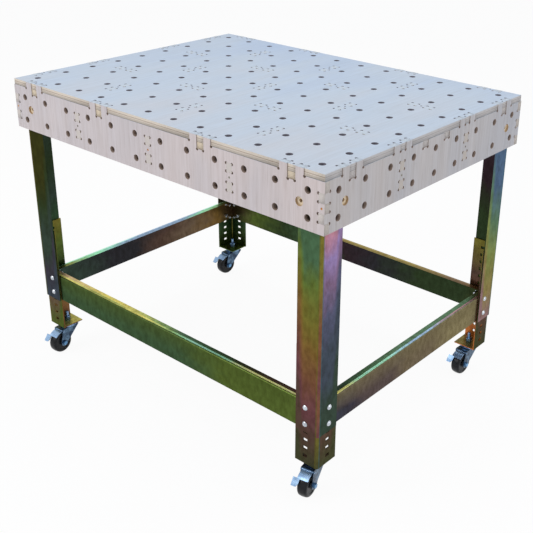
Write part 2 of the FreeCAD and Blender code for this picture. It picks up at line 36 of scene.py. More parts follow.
# ---- sizes, as in the part ----
PLY = 18 * MM
HOLE_PITCH = 101.6 * MM
EDGE_TO_HOLE = 50.8 * MM
DOG_RADIUS = 9.525 * MM
DOG_ROW_SPACING = 69.85 * MM
RIB_SPACING = 304.8 * MM
TAB = 25.4 * MM
JOINT_CLEARANCE = 0.1 * MM
DOUBLER_WIDTH = 20 * MM
CORNER_TAB_INSET = 101.6 * MM
RIM_TAB_SPACING = RIB_SPACING        # along a long edge, from the first joint to the next
SIDE_TAB_SPACING = 2 * HOLE_PITCH    # and along a short edge
LEG_BOLT_INSET = 76.2 * MM
COUNTERBORE_RADIUS = 12 * MM
COUNTERBORE_DEPTH = 6 * MM
LEG_BOLT_HOLE_RADIUS = 4.75 * MM
LEG_FLANGE = 76.2 * MM
STEEL = 3 * MM
SLIDE_CLEARANCE = 0.3 * MM
BOLT_COLUMN = 45 * MM
DOME_RADIUS = 8 * MM
DOME_HEIGHT = 4.4 * MM
SHANK_RADIUS = 4 * MM
BOLT_HEIGHTS = (225.6 * MM, 276.4 * MM)
NUT_HEIGHT = 6.5 * MM
BOLT_END = 20 * MM
WHEEL_WIDTH = 29.5 * MM
# Swivel of each caster at rest, in degrees.
WHEEL_TURNS = {"front_left": 6.0, "front_right": 11.5, "back_right": -2.5, "back_left": -2.5}

# ---- only in the scene ----
CUTTER_RADIUS = 4.1 * MM        # of the bit that leaves the round reliefs in the joints' corners
RELIEF_INSET = 2.0 * MM         # relief centre from the wall of the cut
RELIEF_PAST = 0.9 * MM          # and past its floor
RELIEF_STEPS = 16
EDGE_RECESS = 1.5 * MM          # rims of sheet and doublers, behind the aprons' faces
HAIR = 0.5 * MM                 # under the sheet, so that faces at its height count as above
SCREW_HOLE_RADIUS = 3.0 * MM
SCREW_HOLE_STEPS = 16
BOLT_HOLE_STEPS = 24
COUNTERBORE_STEPS = 48
CIRCLE_STEPS = 40               # of a dog hole
SHORT_STEP = 1.4 * MM           # longer than a step round a relief, screw hole or leg-bolt hole
DOME_STEPS = 7
THREAD_CHAMFER = 1 * MM
BOLT_SEGMENTS = 24
SCREW_SEGMENTS = 16
SCREW_OUTLINE = (               # radius and height, from the middle of the recess to under the head
    (0, -1.6 * MM), (1.0 * MM, -1.5 * MM), (1.4 * MM, -0.5 * MM),
    (2.9 * MM, -0.4 * MM), (2.9 * MM, -3 * MM), (0, -3 * MM),
)
WHEEL_SHOULDER = 7 * MM
SHOULDER_STEPS = 6
WHEEL_SEGMENTS = 48
WHEEL_CROWN = 0.8 * MM
WHEEL_DISH = 2 * MM
HUB_RADIUS = 10 * MM
HUB_SLOPE = 1 * MM              # width of the dish's slope beside the hub
RIM_RADIUS = 27 * MM
RIM_SLOPE = 2 * MM              # and beside the rim
AXLE_HOLE_RADIUS = 4.2 * MM
WELD = 0.001 * MM               # points closer than this are one
WHEEL_WELD = 0.01 * MM
SHARP_ANGLE = math.radians(40)

CORNERS = {"front_left": (-1, -1), "front_right": (1, -1), "back_right": (1, 1), "back_left": (-1, 1)}

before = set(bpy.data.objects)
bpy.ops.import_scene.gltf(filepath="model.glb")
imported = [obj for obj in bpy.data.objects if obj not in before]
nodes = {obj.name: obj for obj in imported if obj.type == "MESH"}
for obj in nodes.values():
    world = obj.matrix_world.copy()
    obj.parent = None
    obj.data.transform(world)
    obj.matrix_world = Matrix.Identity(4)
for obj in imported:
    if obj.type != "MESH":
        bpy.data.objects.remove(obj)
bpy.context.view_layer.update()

sheet_low, sheet_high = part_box("top_panel")
HALF_LENGTH = (sheet_high.x - sheet_low.x) / 2
HALF_WIDTH = (sheet_high.y - sheet_low.y) / 2
MIDDLE_Y = (sheet_high.y + sheet_low.y) / 2     # the top's middle; all but the wheels is drawn from it
TOP_Z = sheet_high.z
SHEET_Z = sheet_low.z
DOUBLER_Z = SHEET_Z - PLY
SKIRT_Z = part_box("apron_front")[0].z
SKIRT_MIDDLE_Z = (SHEET_Z + SKIRT_Z) / 2
LEG_X = HALF_LENGTH - PLY
LEG_Y = HALF_WIDTH - PLY


# ---- shader helpers ----
class Shader:
    """The nodes of a new material, or of the owner given, and short ways to add to them."""

    def __init__(self, name, owner=None):
        self.material = owner or bpy.data.materials.new(name)
        self.material.use_nodes = True
        self.tree = self.material.node_tree
        self.surface = self.tree.nodes.get("Principled BSDF")
        self.kept = {}

    def node(self, kind, inputs=None, **settings):
        """New node with its settings, and with a value or a link on each input that is named."""
        made = self.tree.nodes.new(kind)
        for key, value in settings.items():
            setattr(made, key, value)
        for key, value in (inputs or {}).items():
            self.feed(made.inputs[key], value)
        return made

    def feed(self, socket, value):
        if isinstance(value, bpy.types.NodeSocket):
            self.tree.links.new(value, socket)
        else:
            socket.default_value = value

    def math(self, operation, a, b=0.0, clamp=False):
        made = self.node("ShaderNodeMath", {0: a, 1: b}, operation=operation, use_clamp=clamp)
        return made.outputs[0]

    def apart(self, a, b):
        """Distance between two values."""
        return self.math("ABSOLUTE", self.math("SUBTRACT", a, b))

    def pushed(self, value, noise, amount):
        """value moved up and down by a noise, by half of amount at most."""
        return self.math("ADD", value, self.math("MULTIPLY", self.math("SUBTRACT", noise, 0.5), amount))

    def place(self):
        """Where a point is, from the floor under the middle of the table top."""
        if "place" not in self.kept:
            point = self.node("ShaderNodeTexCoord").outputs["Object"]
            middle = (0.0, MIDDLE_Y, 0.0)
            moved = self.node("ShaderNodeVectorMath", {0: point, 1: middle}, operation="SUBTRACT")
            self.kept["place"] = moved.outputs["Vector"]
        return self.kept["place"]

    def noise(self, scale, size=1.0, detail=4.0, roughness=0.55, distortion=0.0):
        """Noise at a scale that is one number, or one for each axis."""
        scales = scale if isinstance(scale, tuple) else (scale, scale, scale)
        stretched = self.node("ShaderNodeMapping", {"Vector": self.place(), "Scale": scales})
        made = self.node("ShaderNodeTexNoise", {
            "Vector": stretched.outputs["Vector"], "Scale": size, "Detail": detail,
            "Roughness": roughness, "Distortion": distortion,
        })
        return made.outputs["Fac"]

    def axis(self, letter, of="position"):
        """One component of the place or of the surface's direction."""
        if of not in self.kept:
            if of == "position":
                vector = self.place()
            else:
                vector = self.node("ShaderNodeNewGeometry").outputs["True Normal"]
            self.kept[of] = self.node("ShaderNodeSeparateXYZ", {0: vector})
        return self.kept[of].outputs["XYZ".index(letter)]

    def looks(self, letter):
        """1 on the faces that look along an axis, either way."""
        return self.math("GREATER_THAN", self.math("ABSOLUTE", self.axis(letter, "direction")), 0.5)

    def between(self, value, low, high, start=0.0, end=1.0):
        """value from low to high becomes start to end, and stays between them."""
        made = self.node("ShaderNodeMapRange", {
            "Value": value, "From Min": low, "From Max": high, "To Min": start, "To Max": end,
        })
        return made.outputs["Result"]

    def mix(self, share, a, b, blend="MIX"):
        made = self.node("ShaderNodeMix", data_type="RGBA", blend_type=blend)
        for socket, value in (("Factor_Float", share), ("A_Color", a), ("B_Color", b)):
            self.feed(next(i for i in made.inputs if i.identifier == socket), value)
        return next(o for o in made.outputs if o.identifier == "Result_Color")

    def ramp(self, value, stops):
        made = self.node("ShaderNodeValToRGB")
        self.feed(made.inputs["Fac"], value)
        elements = made.color_ramp.elements
        while len(elements) < len(stops):
            elements.new(1.0)
        for element, (place, colour) in zip(elements, stops):
            element.position = place
            element.color = rgb(*colour)
        return made.outputs["Color"]

    def bump(self, height, distance, strength):
        inputs = {"Height": height, "Distance": distance, "Strength": strength}
        self.set("Normal", self.node("ShaderNodeBump", inputs).outputs["Normal"])

    def colour(self, value):
        self.set("Base Color", value)

    def set(self, socket, value):
        self.feed(self.surface.inputs[socket], value)


def rgb(red, green, blue):
    """Colour given as the eye sees it, from 0 to 255, made linear."""
    def linear(c):
        c = c / 255
        return c / 12.92 if c <= 0.04045 else ((c + 0.055) / 1.055) ** 2.4

    return (linear(red), linear(green), linear(blue), 1.0)


def link_new(name, data):
    """New object in the scene."""
    obj = bpy.data.objects.new(name, data)
    bpy.context.scene.collection.objects.link(obj)
    return obj


def evaluated_mesh(obj):
    """Mesh of an object with its curve filled or its modifiers applied."""
    bpy.context.view_layer.update()
    seen = bpy.context.evaluated_depsgraph_get()
    return bpy.data.meshes.new_from_object(obj.evaluated_get(seen))


def finish(obj, *materials):
    """Gives an object these materials and no others."""
    obj.data.materials.clear()
    for material in materials:
        obj.data.materials.append(material)
    return obj


# ---- plywood ----
VENEER_COUNT = 13
# Colours of the layers inside the cuts, painted darker than the ends as shade; the top's darker and
# greyer still.
SHADED_CUT_WALLS = ((156, 138, 126), (114, 98, 88))
TOP_SHADED_CUT_WALLS = ((104, 100, 108), (76, 72, 80))


def outside_ends(s):
    """1 where an end face shows on the outside of the top: its rims, tongues, tab ends and ledges."""
    masks = []
    for letter, half in (("X", HALF_LENGTH), ("Y", HALF_WIDTH)):
        beyond = s.math("GREATER_THAN", s.math("ABSOLUTE", s.axis(letter)), half - 2 * EDGE_RECESS)
        masks.append(s.math("MULTIPLY", beyond, s.looks(letter)))
    return s.math("MAXIMUM", s.math("MAXIMUM", masks[0], masks[1]), upper_ends(s))


def upper_ends(s):
    above = s.math("GREATER_THAN", s.axis("Z"), SHEET_Z - HAIR)
    return s.math("MULTIPLY", above, s.math("GREATER_THAN", s.axis("Z", "direction"), 0.5))


def layer_share(s, thin, middle, lines):
    """How dark the layers are across a sheet's thickness: faint everywhere, with a few dark lines."""
    across = s.between(s.axis(thin), middle - PLY / 2, middle + PLY / 2)
    across = s.pushed(across, s.noise(50.0, detail=2.0), 0.04)
    wave = s.math("SINE", s.math("MULTIPLY", across, VENEER_COUNT * math.pi))
    share = s.between(s.math("ABSOLUTE", wave), 0.2, 0.9, 0.30, 0.0)
    for place, width, depth in lines:
        line = s.between(s.apart(across, place), width * 0.4, width, depth, 0.0)
        share = s.math("MAXIMUM", share, line)
    fibre = s.noise(420.0, detail=3.0)
    return s.math("ADD", share, s.between(fibre, 0.35, 0.75, 0.0, 0.18), clamp=True)


def plywood(name, thin, middle, grain, tones, ends, lean=(0.0, 0.0), lines=(), walls=SHADED_CUT_WALLS,
            spread=0.3, grain_depth=0.36):
    """Birch plywood. thin is the axis across the sheet, middle its middle plane, grain the face's.

    tones are the face's cool, middle and warm colour, spread says how far they lie apart, lean how
    they drift over the table, and grain_depth how dark the grain is. ends and walls are the light and
    dark colours of the layers: on the long sides, the short sides and above, and inside the cuts,
    where they are painted darker as shade.
    lines are the place, width and depth of darker layers.
    """
    s = Shader(name)
    on_face = s.between(s.math("ABSOLUTE", s.axis(thin, "direction")), 0.5, 0.9)

    def stretched(along, across, **settings):
        return s.noise(tuple(along if letter == grain else across for letter in "XYZ"), **settings)

    broad = stretched(2.0, 5.0, detail=3.0, roughness=0.5, distortion=0.6)
    drifts = [s.math("MULTIPLY", s.axis(letter), share) for letter, share in zip("XY", lean)]
    stops = zip((0.5 - spread, 0.5, 0.5 + spread), tones)
    tone = s.ramp(s.math("ADD", broad, s.math("ADD", *drifts)), list(stops))
    fine = stretched(4.0, 130.0, detail=5.0, roughness=0.6, distortion=0.2)
    fibres = stretched(14.0, 330.0, detail=2.0, roughness=0.5)
    darker = s.mix(1.0, tone, rgb(205, 196, 186), "MULTIPLY")
    face = s.mix(s.between(fine, 0.38, 0.74, 0.0, grain_depth), tone, darker)
    face = s.mix(s.between(fibres, 0.56, 0.74, 0.0, grain_depth), face, darker)

    share = layer_share(s, thin, middle, lines)
    # The ends' colours by side carry painted light: darker short sides as shade, bluish ends above as sky
    # light.
    long_side, short_side, above = (s.mix(share, rgb(*light), rgb(*dark)) for light, dark in ends)
    rims = s.mix(upper_ends(s), s.mix(s.looks("X"), long_side, short_side), above)
    # Inside the cuts the layers take the walls' colours, painted darker as shade.
    edges = s.mix(outside_ends(s), s.mix(share, rgb(*walls[0]), rgb(*walls[1])), rims)
    s.colour(s.mix(on_face, edges, face))
    s.set("Roughness", 0.7)
    s.set("Specular IOR Level", 0.25)
    s.bump(s.math("ADD", fine, s.math("MULTIPLY", fibres, 0.4)), 0.0003, 0.35)
    return s, face, edges, on_face


def plain_plywood(*about, **more):
    """The material alone of a sheet of plywood."""
    return plywood(*about, **more)[0].material


# ---- sheets with routed outlines ----
def arc(centre, radius, start, end, steps):
    """Points round a circle, in degrees, both ends included."""
    angles = [math.radians(start + (end - start) * i / steps) for i in range(steps + 1)]
    return [(centre[0] + radius * math.cos(a), centre[1] + radius * math.sin(a)) for a in angles]


def circle(centre, radius, steps=CIRCLE_STEPS):
    return arc(centre, radius, 0, 360, steps)[:-1]


def relief(corner, into_cut, past_floor):
    """Points round the relief in the corner of a cut, from its wall to its floor."""
    wall = math.atan2(-math.sqrt(CUTTER_RADIUS ** 2 - RELIEF_INSET ** 2), -RELIEF_INSET) + 2 * math.pi
    floor = math.atan2(-RELIEF_PAST, math.sqrt(CUTTER_RADIUS ** 2 - RELIEF_PAST ** 2))
    points = []
    for i in range(RELIEF_STEPS + 1):
        angle = wall + (floor - wall) * i / RELIEF_STEPS
        inward = RELIEF_INSET + CUTTER_RADIUS * math.cos(angle)
        beyond = RELIEF_PAST + CUTTER_RADIUS * math.sin(angle)
        points.append((
            corner[0] + into_cut[0] * inward + past_floor[0] * beyond,
            corner[1] + into_cut[1] * inward + past_floor[1] * beyond,
        ))
    return points


def mortise(low, high, middle):
    """Mortise from low to high along the first axis, with a relief in each of its corners."""
    half = PLY / 2 + JOINT_CLEARANCE
    points = relief((low, middle - half), (1, 0), (0, -1))
    points += relief((high, middle - half), (-1, 0), (0, -1))[::-1]
    points += relief((high, middle + half), (-1, 0), (0, 1))
    points += relief((low, middle + half), (1, 0), (0, 1))[::-1]
    return points


def turned(points):
    """The same outline with its two axes swapped."""
    return [(b, a) for a, b in points]


def tab_spans(middle, clearance=0.0):
    """Low and high end of each of the two tabs of a joint."""
    near = TAB / 2 - clearance
    far = 3 * TAB / 2 + clearance
    return [(middle - far, middle - near), (middle + near, middle + far)]


def both_sides(*places):
    """Each place and its mirror image, in order."""
    return sorted(side * place for side in (-1, 1) for place in places)


def grid(half_extent):
    """Places of the dog holes along one side."""
    first = half_extent - EDGE_TO_HOLE
    count = int(round(2 * first / HOLE_PITCH)) + 1
    return [-first + i * HOLE_PITCH for i in range(count)]


RIB_X = [-RIB_SPACING, 0.0, RIB_SPACING]
RIB_Y = both_sides(RIB_SPACING / 2)
CROSS_RIB_TAB_Y = [-RIB_SPACING, 0.0, RIB_SPACING]
LONG_RIB_TAB_X = both_sides(RIB_SPACING / 2, 3 * RIB_SPACING / 2)
FIRST_X = HALF_LENGTH - CORNER_TAB_INSET
FIRST_Y = HALF_WIDTH - CORNER_TAB_INSET
LONG_RIM_X = both_sides(FIRST_X, FIRST_X - RIM_TAB_SPACING)
SHORT_RIM_Y = both_sides(FIRST_Y, FIRST_Y - SIDE_TAB_SPACING)
SHORT_DOUBLER_Y = both_sides(FIRST_Y, FIRST_Y - RIM_TAB_SPACING)
APRON_ROWS = (SKIRT_MIDDLE_Z - DOG_ROW_SPACING / 2, SKIRT_MIDDLE_Z + DOG_ROW_SPACING / 2)


def add_object(name, mesh, home=MIDDLE_Y):
    """Object in the scene, with its mesh moved from the middle of the top to the part's frame."""
    mesh.transform(Matrix.Translation((0, home, 0)))
    return link_new(name, mesh)


def is_small_bore(wall, across):
    """Whether a face is one step of the wall of a relief, a screw hole or a leg-bolt hole."""
    if abs(wall.normal @ across) >= 0.1:
        return False
    ends = [(edge, edge.verts[0].co - edge.verts[1].co) for edge in wall.edges]
    return min(edge.calc_length() for edge, way in ends if abs(way @ across) < MM) < SHORT_STEP


def flat_sheet(name, outline, holes, place):
    """Plywood cut to an outline with holes. place turns the drawing (a, b, thickness) into the frame.

    The walls of the small bores get the second material.
    """
    curve = bpy.data.curves.new(name + "_outline", "CURVE")
    curve.dimensions = "2D"
    curve.fill_mode = "BOTH"
    curve.extrude = PLY / 2
    for points in [outline] + holes:
        spline = curve.splines.new("POLY")
        spline.points.add(len(points) - 1)
        for point, (a, b) in zip(spline.points, points):
            point.co = (a, b, 0.0, 1.0)
        spline.use_cyclic_u = True
    drawing = link_new(name + "_drawing", curve)
    mesh = evaluated_mesh(drawing)
    bpy.data.objects.remove(drawing)
    mesh.name = name
    mesh.transform(place)
    shape = bmesh.new()
    shape.from_mesh(mesh)
    bmesh.ops.remove_doubles(shape, verts=shape.verts, dist=WELD)
    bmesh.ops.recalc_face_normals(shape, faces=shape.faces)
    across = place.to_3x3() @ Vector((0, 0, 1))
    for wall in shape.faces:
        if is_small_bore(wall, across):
            wall.material_index = 1
    shape.to_mesh(mesh)
    shape.free()
    return add_object(name, mesh)


def top_edge(middles, half, across):
    """One rim of the sheet at -across, left to right: a little recessed, notched for the aprons' tabs."""
    rim = -across + EDGE_RECESS
    inner = -across + PLY + JOINT_CLEARANCE
    points = [(-half + EDGE_RECESS, rim)]
    for middle in sorted(middles):
        for low, high in tab_spans(middle, JOINT_CLEARANCE):
            points.append((low, rim))
            points += relief((low, inner), (1, 0), (0, 1))
            points += relief((high, inner), (-1, 0), (0, 1))[::-1]
            points.append((high, rim))
    return points


def make_top():
    front = top_edge(LONG_RIM_X, HALF_LENGTH, HALF_WIDTH)
    side = top_edge(SHORT_RIM_Y, HALF_WIDTH, HALF_LENGTH)
    right = [(-b, a) for a, b in side]
    back = [(-a, -b) for a, b in front]
    left = [(b, -a) for a, b in side]
    holes = [circle((x, y), DOG_RADIUS) for x in grid(HALF_LENGTH) for y in grid(HALF_WIDTH)]
    screws = []
    for x in RIB_X:
        for y in CROSS_RIB_TAB_Y:
            holes += [turned(mortise(low, high, x)) for low, high in tab_spans(y, JOINT_CLEARANCE)]
            screws.append((x, y))
    for y in RIB_Y:
        for x in LONG_RIB_TAB_X:
            holes += [mortise(low, high, y) for low, high in tab_spans(x, JOINT_CLEARANCE)]
            screws.append((x, y))
    screws += [(x, side * (HALF_WIDTH - PLY / 2)) for x in LONG_RIM_X for side in (-1, 1)]
    screws += [(side * (HALF_LENGTH - PLY / 2), y) for y in SHORT_RIM_Y for side in (-1, 1)]
    holes += [circle(place, SCREW_HOLE_RADIUS, SCREW_HOLE_STEPS) for place in screws]
    place = Matrix.Translation((0, 0, (TOP_Z + SHEET_Z) / 2))
    return flat_sheet("top_sheet", front + right + back + left, holes, place)


def apron_outline(half, rim_joints, deep_joints, notched_ends):
    """Apron seen from outside: along the edge, and up. Its ends are notched or tabbed for the corner."""
    rows = tab_spans(SKIRT_MIDDLE_Z, JOINT_CLEARANCE if notched_ends else 0.0)

    def end(side):
        """The end at side * half, from the bottom up."""
        made = []
        for low, high in rows:
            if notched_ends:
                inner = half - PLY - JOINT_CLEARANCE
                made.append((half, low))
                made += relief((inner, low), (0, 1), (-1, 0))
                made += relief((inner, high), (0, -1), (-1, 0))[::-1]
                made.append((half, high))
            else:
                made += relief((half, low), (0, -1), (-1, 0))[::-1]
                made += [(half + PLY, low), (half + PLY, high)]
                made += relief((half, high), (0, 1), (-1, 0))
        return [(side * a, b) for a, b in made]

    points = [(-half, SKIRT_Z), (half, SKIRT_Z)] + end(1) + [(half, SHEET_Z)]
    for middle in sorted(set(rim_joints) | set(deep_joints), reverse=True):
        (left_low, left_high), (right_low, right_high) = tab_spans(middle)
        floor = DOUBLER_Z if middle in deep_joints else SHEET_Z
        gap = relief((right_low, floor), (-1, 0), (0, -1))
        gap += relief((left_high, floor), (1, 0), (0, -1))[::-1]
        if middle in rim_joints:
            points += relief((right_high, SHEET_Z), (1, 0), (0, -1))[::-1]
            points += [(right_high, TOP_Z), (right_low, TOP_Z)] + gap
            points += [(left_high, TOP_Z), (left_low, TOP_Z)]
            points += relief((left_low, SHEET_Z), (-1, 0), (0, -1))
        else:
            points += [(right_low, SHEET_Z)] + gap + [(left_high, SHEET_Z)]
    return points + [(-half, SHEET_Z)] + end(-1)[::-1]


def facing_place(centre, outward):
    """Turns the height axis to look outward from a centre."""
    return Matrix.Translation(centre) @ outward.to_track_quat("Z", "Y").to_matrix().to_4x4()


def counterbore(sheet, centre, outward):
    """Cuts the wide mouth of a leg-bolt hole with a boolean, and throws the cutter away."""
    mesh = bpy.data.meshes.new("counterbore")
    shape = bmesh.new()
    bmesh.ops.create_cone(
        shape, cap_ends=True, segments=COUNTERBORE_STEPS, radius1=COUNTERBORE_RADIUS,
        radius2=COUNTERBORE_RADIUS, depth=2 * COUNTERBORE_DEPTH
    )
    shape.to_mesh(mesh)
    shape.free()
    mesh.transform(facing_place(centre, outward))
    cutter = add_object("counterbore_cutter", mesh)
    cut = sheet.modifiers.new("counterbore", "BOOLEAN")
    cut.operation = "DIFFERENCE"
    cut.solver = "EXACT"
    cut.object = cutter
    whole = evaluated_mesh(sheet)
    sheet.modifiers.clear()
    sheet.data = whole
    bpy.data.objects.remove(cutter)


def make_apron(name, outward, half, outline, rib_places):
    """Apron whose outer face looks along outward."""
    is_long = abs(outward.y) > 0.5
    holes = [circle((a, b), DOG_RADIUS) for a in grid(half) for b in APRON_ROWS]
    for place in rib_places:
        spans = tab_spans(SKIRT_MIDDLE_Z, JOINT_CLEARANCE)
        holes += [turned(mortise(low, high, place)) for low, high in spans]
        holes.append(circle((place, SKIRT_MIDDLE_Z), SCREW_HOLE_RADIUS, SCREW_HOLE_STEPS))
    for a in both_sides(half - PLY / 2) if is_long else ():
        holes.append(circle((a, SKIRT_MIDDLE_Z), SCREW_HOLE_RADIUS, SCREW_HOLE_STEPS))
    bolts = both_sides(half - LEG_BOLT_INSET)
    holes += [circle((a, SKIRT_MIDDLE_Z), LEG_BOLT_HOLE_RADIUS, BOLT_HOLE_STEPS) for a in bolts]
    along = Vector((-outward.y, outward.x, 0))
    reach = HALF_WIDTH if is_long else HALF_LENGTH
    middle = outward * (reach - PLY / 2)
    place = Matrix((
        (along.x, 0, outward.x, middle.x),
        (along.y, 0, outward.y, middle.y),
        (0, 1, 0, 0),
        (0, 0, 0, 1),
    ))
    sheet = flat_sheet(name, outline, holes, place)
    for a in bolts:
        centre = along * a + outward * reach
        centre.z = SKIRT_MIDDLE_Z
        counterbore(sheet, centre, outward)
    return sheet


def make_doubler(name, is_long, side):
    """Strip under the sheet's rim, with tongues that fill the deep gaps between the aprons' tabs."""
    if is_long:
        half, reach, edge, joints = LEG_X, LEG_Y, HALF_WIDTH, LONG_RIM_X
    else:
        half, reach, edge, joints = LEG_Y - DOUBLER_WIDTH, LEG_X, HALF_LENGTH, SHORT_DOUBLER_Y
    outer = -reach
    rim = -edge + EDGE_RECESS
    outline = [(-half, outer)]
    for middle in sorted(joints):
        low = middle - TAB / 2 + JOINT_CLEARANCE
        high = middle + TAB / 2 - JOINT_CLEARANCE
        outline += [(low, outer), (low, rim), (high, rim), (high, outer)]
    outline += [(half, outer), (half, outer + DOUBLER_WIDTH), (-half, outer + DOUBLER_WIDTH)]
    outline = [(a, -side * b) for a, b in outline]
    if not is_long:
        outline = turned(outline)
    return flat_sheet(name, outline, [], Matrix.Translation((0, 0, DOUBLER_Z + PLY / 2)))


# All from the middle of a counterbore.
BORE_COLOUR_END = (12.4 * MM, 12.8 * MM)
STAIN_OUTER = (-4 * MM, -1 * MM)      # where the stain fades out, towards the table's corner
STAIN_INNER = (-7 * MM, -4 * MM)      # and away from it
STAIN_HEIGHT = (-26 * MM, -8 * MM)    # from its lower end to its top
FACE_MARGIN = 1 * MM                  # what lies deeper than this under the face is in a counterbore


def apron_material(name, is_long, middle, tones, lean):
    """Plywood face with the pale floor and tan wall of its counterbores, and a stain below each."""
    thin, along = ("Y", "X") if is_long else ("X", "Y")
    half = HALF_LENGTH if is_long else HALF_WIDTH
    s, face, edges, on_face = plywood(name, thin, middle, "Z", tones, TAB_ENDS, lean)
    aside = s.math("SUBTRACT", s.math("ABSOLUTE", s.axis(along)), half - LEG_BOLT_INSET)
    above = s.math("SUBTRACT", s.axis("Z"), SKIRT_MIDDLE_Z)
    squares = [s.math("MULTIPLY", side, side) for side in (aside, above)]
    near_bolt = s.between(s.math("SQRT", s.math("ADD", *squares)), *BORE_COLOUR_END, 1.0, 0.0)
    sunk = s.math("LESS_THAN", s.apart(s.axis(thin), middle), PLY / 2 - FACE_MARGIN)
    sunk = s.math("MULTIPLY", near_bolt, sunk)
    grime = s.between(s.noise(160.0, detail=3.0), 0.4, 0.7, 0.0, 0.6)
    face = s.mix(sunk, face, s.mix(grime, rgb(238, 222, 194), rgb(214, 192, 158)))
    stained = s.between(aside, *STAIN_OUTER, 1.0, 0.0)
    stained = s.math("MULTIPLY", stained, s.between(aside, *STAIN_INNER))
    stained = s.math("MULTIPLY", stained, s.between(above, *STAIN_HEIGHT, 0.0, 0.45))
    stained = s.math("MULTIPLY", stained, s.math("LESS_THAN", above, STAIN_HEIGHT[1]))
    face = s.mix(s.math("MULTIPLY", stained, s.math("SUBTRACT", 1.0, sunk)), face, rgb(150, 122, 98))
    edges = s.mix(near_bolt, edges, rgb(188, 162, 128))
    s.colour(s.mix(on_face, edges, face))
    return s.material


def shadowed(name):
    """Inside of the reliefs, screw holes and leg-bolt holes."""
    s = Shader(name)
    # Painted shade, mottled at random.
    shade_mottle = s.noise(300.0, detail=3.0)
    s.colour(s.mix(s.between(shade_mottle, 0.35, 0.7), rgb(58, 50, 47), rgb(40, 35, 34)))
    s.set("Roughness", 0.9)
    s.set("Specular IOR Level", 0.1)
    return s.material


# Light and dark colour of the layers on the long sides, on the short sides and above. The short sides are
# painted darker as shade, and on the tabs and rims the ends above are painted bluish as sky light.
TAB_ENDS = (
    ((210, 202, 196), (182, 172, 162)),
    ((196, 188, 180), (166, 156, 147)),
    ((186, 196, 206), (164, 168, 172)),
)
RIM_ENDS = (
    ((221, 211, 197), (154, 132, 112)),
    ((196, 193, 192), (160, 153, 148)),
    ((186, 196, 206), (164, 168, 172)),
)
TONGUE_ENDS = (
    ((222, 209, 186), (174, 150, 122)),
    ((198, 193, 190), (152, 143, 136)),
    ((200, 190, 170), (170, 160, 140)),
)
# Place across the sheet, width and depth of its darker layers.
RIM_LINES = ((0.58, 0.06, 0.9), (0.30, 0.04, 0.5), (0.03, 0.05, 0.8))
TONGUE_LINES = ((0.16, 0.03, 0.6), (0.36, 0.03, 0.7), (0.58, 0.03, 0.6), (0.80, 0.03, 0.5))
# Cool, middle and warm colour of a face. The top's are painted bluish as sky light, and the short aprons'
# painted darker than the long aprons' as shade.
TOP_SKYLIT_TONES = ((172, 187, 208), (181, 192, 205), (188, 190, 196))
LONG_LIT_TONES = ((201, 196, 200), (210, 201, 201), (219, 206, 203))
SHORT_SHADED_TONES = ((184, 186, 193), (195, 192, 193), (202, 195, 192))
INNER_TONES = ((196, 186, 172), (204, 192, 174), (210, 196, 176))


def build_top(dark):
    top = make_top()
    wood = plain_plywood(
        "ply_top", "Z", (TOP_Z + SHEET_Z) / 2, "Y", TOP_SKYLIT_TONES, RIM_ENDS, lean=(0.16, -0.30),
        lines=RIM_LINES, walls=TOP_SHADED_CUT_WALLS, spread=0.42, grain_depth=0.2
    )
    finish(top, wood, dark)
    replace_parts(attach(top, "table_frame"), "top_panel")


def build_side(side, outline, dark):
    """One apron and the doubler inside it."""
    sign = 1 if side in ("back", "right") else -1
    is_long = side in ("front", "back")
    # The short aprons get tones painted darker than the long aprons', as shade.
    if is_long:
        outward, half, reach, ribs = Vector((0, sign, 0)), HALF_LENGTH, HALF_WIDTH, RIB_X
        tones, lean = LONG_LIT_TONES, (0.2, 0.0)
    else:
        outward, half, reach, ribs = Vector((sign, 0, 0)), HALF_WIDTH, HALF_LENGTH, RIB_Y
        tones, lean = SHORT_SHADED_TONES, (0.0, -0.3)
    sheet = make_apron("apron_sheet_" + side, outward, half, outline, ribs)
    face = apron_material("ply_apron_" + side, is_long, sign * (reach - PLY / 2), tones, lean)
    finish(sheet, face, dark)
    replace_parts(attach(sheet, "table_frame"), "apron_" + side)
    strip = make_doubler("doubler_sheet_" + side, is_long, sign)
    wood = plain_plywood(
        "ply_doubler_" + side, "Z", DOUBLER_Z + PLY / 2, "X", INNER_TONES, TONGUE_ENDS,
        lines=TONGUE_LINES
    )
    finish(strip, wood, dark)
    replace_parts(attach(strip, "table_frame"), "doubler_" + side)


def build_ribs():
    for name, x in zip(("left", "middle", "right"), RIB_X):
        wood = plain_plywood("ply_cross_rib_" + name, "X", x, "Y", INNER_TONES, TAB_ENDS)
        finish(nodes["cross_rib_" + name], wood)
    for name, y in zip(("front", "back"), RIB_Y):
        wood = plain_plywood("ply_long_rib_" + name, "Y", y, "X", INNER_TONES, TAB_ENDS)
        finish(nodes["long_rib_" + name], wood)


def build_wood():
    """Every plywood sheet: its own drawing where the routed detail shows, the plain solid elsewhere."""
    dark = shadowed("ply_shadow")
    build_top(dark)
    long_outline = apron_outline(HALF_LENGTH, LONG_RIM_X, LONG_RIM_X, True)
    short_outline = apron_outline(LEG_Y, SHORT_RIM_Y, SHORT_DOUBLER_Y, False)
    for side in ("front", "back", "left", "right"):
        build_side(side, long_outline if side in ("front", "back") else short_outline, dark)
    build_ribs()


